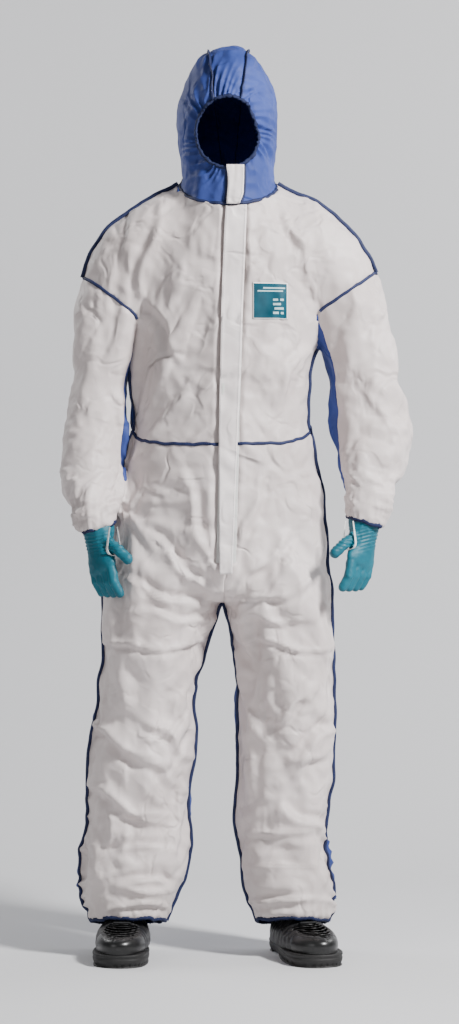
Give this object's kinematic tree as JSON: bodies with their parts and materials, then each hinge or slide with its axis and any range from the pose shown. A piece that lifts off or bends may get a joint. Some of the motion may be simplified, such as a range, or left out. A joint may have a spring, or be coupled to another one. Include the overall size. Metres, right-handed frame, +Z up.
{
  "type": "chemical protective suit",
  "caption": "Hooded protective coverall with covered front zip, elastic face, cuffs and hems, thumb loops, and removable gloves and safety shoes.",
  "frame": {"origin": "on the floor, under the middle of the bounding box", "axes": "+Z up, the suit faces -Y, and +X is towards the wearer's left hand"},
  "size_m": [0.7284, 0.3494, 1.86],
  "materials": {
    "white_cloth": "matt laminated nonwoven",
    "blue_cloth": "matt nonwoven",
    "hood_cloth": "matt nonwoven",
    "binding": "woven tape",
    "elastic": "knitted elastic",
    "white_elastic": "knitted elastic",
    "zip_tape": "woven tape",
    "zip_teeth": "moulded coil",
    "zip_metal": "painted die-cast",
    "adhesive": "double-sided tape with its release paper",
    "label": "printed fabric label",
    "glove_rubber": "matt dipped rubber",
    "sole_rubber": "matt",
    "shoe_leather": "semi-gloss",
    "toe_cap": "glossy",
    "laces": "woven round cord"
  },
  "bodies": {
    "hood": {"hood_left": "hood_cloth", "hood_seam_left": "hood_cloth", "hood_right": "hood_cloth", "hood_seam_right": "hood_cloth", "hood_centre": "hood_cloth", "face_elastic": "elastic", "chin_flap": "white_cloth"},
    "suit": {"body_front_left": "white_cloth", "trouser_front_left": "white_cloth", "trouser_back_left": "blue_cloth", "sleeve_outer_left": "white_cloth", "sleeve_under_left": "blue_cloth", "armhole_binding_left": "binding", "shoulder_binding_left": "binding", "side_binding_left": "binding", "waist_binding_left": "binding", "leg_binding_left": "binding", "ankle_elastic_left": "elastic", "cuff_elastic_left": "elastic", "zip_tape_left": "zip_tape", "zip_teeth_left": "zip_teeth", "thumb_loop_left": "white_elastic", "body_front_right": "white_cloth", "trouser_front_right": "white_cloth", "trouser_back_right": "blue_cloth", "sleeve_outer_right": "white_cloth", "sleeve_under_right": "blue_cloth", "armhole_binding_right": "binding", "shoulder_binding_right": "binding", "side_binding_right": "binding", "waist_binding_right": "binding", "leg_binding_right": "binding", "ankle_elastic_right": "elastic", "cuff_elastic_right": "elastic", "zip_tape_right": "zip_tape", "zip_teeth_right": "zip_teeth", "thumb_loop_right": "white_elastic", "body_back": "blue_cloth", "neck_binding": "binding", "waist_elastic": "elastic", "zip_bottom_stop": "zip_teeth", "zip_top_stop": "zip_teeth", "chest_label": "label"},
    "glove_left": {"glove_left": "glove_rubber"},
    "shoe_left": {"shoe_sole_left": "sole_rubber", "shoe_upper_left": "shoe_leather", "shoe_toe_cap_left": "toe_cap", "shoe_laces_left": "laces"},
    "glove_right": {"glove_right": "glove_rubber"},
    "shoe_right": {"shoe_sole_right": "sole_rubber", "shoe_upper_right": "shoe_leather", "shoe_toe_cap_right": "toe_cap", "shoe_laces_right": "laces"},
    "zip_slider": {"zip_slider": "zip_metal", "zip_pull": "zip_metal"},
    "storm_flap": {"storm_flap": "white_cloth", "flap_tape": "adhesive"}
  },
  "joints": [
    {"name": "hood_fold", "type": "hinge", "parent": "suit", "child": "hood", "pos_m": [-0.0127, 0.1501, 1.632], "axis": [-1, 0, 0], "range_deg": [0, 100]},
    {"name": "zip_slide", "type": "slide", "parent": "suit", "child": "zip_slider", "axis": [-0.027, -0.0312, -0.9991], "range_m": [0, 0.66]},
    {"name": "storm_flap_open", "type": "hinge", "parent": "suit", "child": "storm_flap", "pos_m": [-0.0047, -0.1176, 0.78], "axis": [0.0401, 0.0312, 0.9987], "range_deg": [0, 150]},
    {"name": "glove_right_draw", "type": "slide", "parent": "suit", "child": "glove_right", "axis": [0.2752, -0.2602, -0.9255], "range_m": [0, 0.09], "deforming": ["thumb_loop_right"]},
    {"name": "shoe_right_draw", "type": "slide", "parent": "suit", "child": "shoe_right", "axis": [0, 0, -1], "range_m": [0, 0.25]},
    {"name": "glove_left_draw", "type": "slide", "parent": "suit", "child": "glove_left", "axis": [-0.2752, -0.2602, -0.9255], "range_m": [0, 0.09], "deforming": ["thumb_loop_left"]},
    {"name": "shoe_left_draw", "type": "slide", "parent": "suit", "child": "shoe_left", "axis": [0, 0, -1], "range_m": [0, 0.25]}
  ]
}
